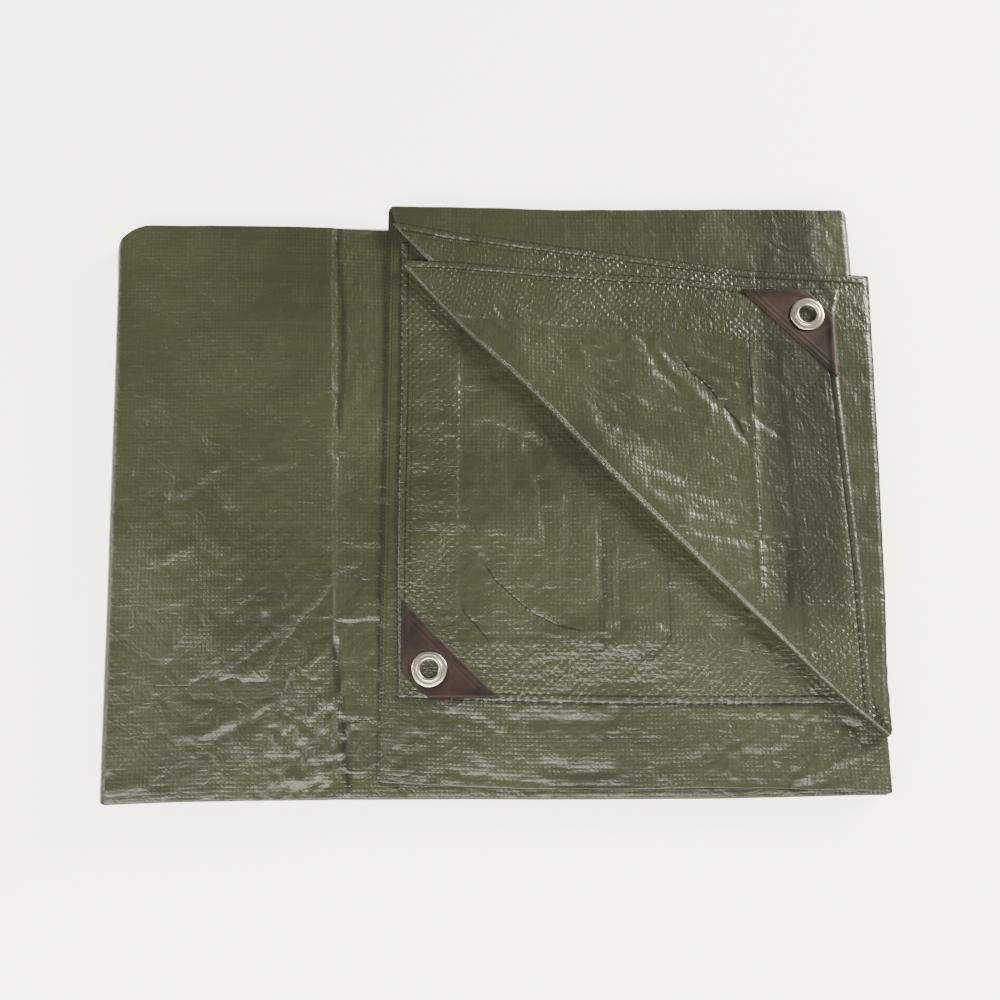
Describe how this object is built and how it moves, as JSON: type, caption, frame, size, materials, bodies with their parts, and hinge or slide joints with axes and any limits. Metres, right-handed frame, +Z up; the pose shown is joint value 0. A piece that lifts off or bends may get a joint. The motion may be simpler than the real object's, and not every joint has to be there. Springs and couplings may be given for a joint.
{
  "type": "folded tarp",
  "caption": "Flat folded pack of olive woven tarpaulin, its top corner turned back over a diagonal to show hemmed corners with plastic patches and eyelets.",
  "frame": {"origin": "on the surface it lies on, under the middle of the folded pack's outline", "axes": "+X along the longer side, from the smooth panel towards the turned-back flap, +Y towards the far long edge, +Z up through the plies"},
  "size_m": [0.5206, 0.4054, 0.0279],
  "materials": {
    "tarp_cloth": "woven tape cloth with a thin glossy coating, olive green, creased",
    "corner_plastic": "dark brown moulded plastic, satin",
    "eyelet_metal": "bright pressed metal"
  },
  "bodies": {
    "root": {"tarp": "tarp_cloth", "corner_patch_left": "corner_plastic", "corner_patch_right": "corner_plastic", "eyelet_left": "eyelet_metal", "eyelet_right": "eyelet_metal"}
  },
  "joints": []
}
